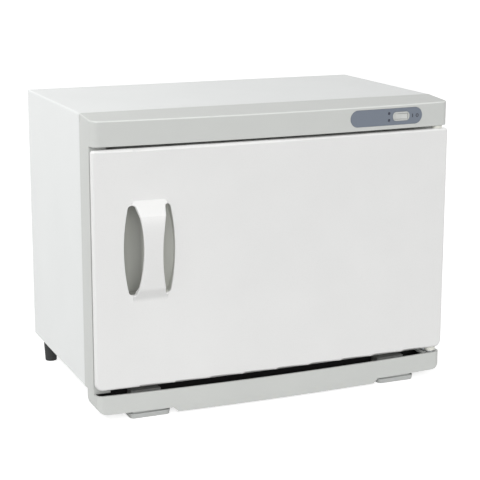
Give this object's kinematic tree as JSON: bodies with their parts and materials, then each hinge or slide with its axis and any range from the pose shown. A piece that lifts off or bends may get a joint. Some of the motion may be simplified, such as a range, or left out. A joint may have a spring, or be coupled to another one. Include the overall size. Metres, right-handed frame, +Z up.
{
  "type": "towel warmer cabinet",
  "caption": "Countertop towel warmer cabinet with a bowed, side-hinged door, strap handle, rocker switch, wire racks and an ultraviolet lamp.",
  "frame": {"origin": "on the ground, under the middle of the overall width and depth", "axes": "+Z up; the door faces -Y; +X is to the right of someone facing the door, where the hinge is"},
  "size_m": [0.451, 0.292, 0.35],
  "materials": {
    "case_paint": "satin white powder coat",
    "frame_grey": "fine satin light grey moulding",
    "door_white": "smooth white moulding",
    "liner_white": "satin white moulding",
    "foam": "rigid foam",
    "jacket": "glass wool felt",
    "gasket_rubber": "soft black rubber",
    "foot_rubber": "black rubber",
    "foot_grey": "grey rubber",
    "plate_blue": "blue grey overlay",
    "switch_pale": "pale moulding",
    "lens": "dark tinted lens",
    "board": "green circuit board",
    "chamber_aluminium": "brushed sheet",
    "rack_wire": "bright wire",
    "steel": "plated steel",
    "nylon": "natural nylon",
    "lamp_glass": "clear quartz glass",
    "magnet": "black magnet case",
    "heater": "orange silicone mat",
    "electric_white": "white electrical moulding",
    "electric_black": "black electrical moulding",
    "tray": "white tray moulding",
    "cup_grey": "satin grey moulding",
    "liner_black": "matt black moulding"
  },
  "bodies": {
    "cabinet": {"base_pan": "case_paint", "catch_magnet": "magnet", "chamber": "chamber_aluminium", "chamber_standoffs": "steel", "control_plate": "plate_blue", "cord_grommet": "gasket_rubber", "cutoff_switch": "electric_black", "drip_tray": "tray", "foot_posts": "frame_grey", "front_feet": "foot_grey", "front_frame": "frame_grey", "heater_mat": "heater", "hinge_screws": "steel", "indicator_board": "board", "indicator_lenses": "lens", "insulation_jacket": "jacket", "lamp_ballast": "electric_white", "lamp_caps": "steel", "lamp_guard": "steel", "lamp_holders": "electric_white", "lamp_tube": "lamp_glass", "lower_hinge_bracket": "steel", "lower_hinge_pin": "steel", "lower_towel_rack": "rack_wire", "outer_cover": "case_paint", "rack_rails": "chamber_aluminium", "rear_feet": "foot_rubber", "rear_foot_screws": "steel", "rear_panel": "case_paint", "rear_panel_screws": "steel", "switch_housing": "switch_pale", "terminal_block": "electric_white", "thermostat": "electric_black", "trough_liner": "liner_black", "upper_hinge_bracket": "steel", "upper_hinge_pin": "steel", "upper_towel_rack": "rack_wire"},
    "door": {"door_gasket": "gasket_rubber", "door_insulation": "foam", "door_liner": "liner_white", "door_skin": "door_white", "handle_cup": "cup_grey", "lower_hinge_bush": "nylon", "striker_plate": "steel", "upper_hinge_bush": "nylon"},
    "rocker": {"power_switch": "switch_pale"},
    "plunger": {"cutoff_plunger": "electric_white"}
  },
  "joints": [
    {"name": "door_hinge", "type": "hinge", "parent": "cabinet", "child": "door", "pos_m": [0.213, -0.12061, 0.175], "axis": [0, 0, 1], "range_deg": [0, 110]},
    {"name": "switch_rock", "type": "hinge", "parent": "cabinet", "child": "rocker", "pos_m": [0.15753, -0.12713, 0.3324], "axis": [0, 0, 1], "range_deg": [0, 16]},
    {"name": "cutoff_slide", "type": "slide", "parent": "cabinet", "child": "plunger", "axis": [0, -1, 0], "range_m": [0, 0.0031]}
  ],
  "couplings": [
    {"joint": "cutoff_slide", "follows": "door_hinge", "m_per_rad": 0.001563}
  ]
}
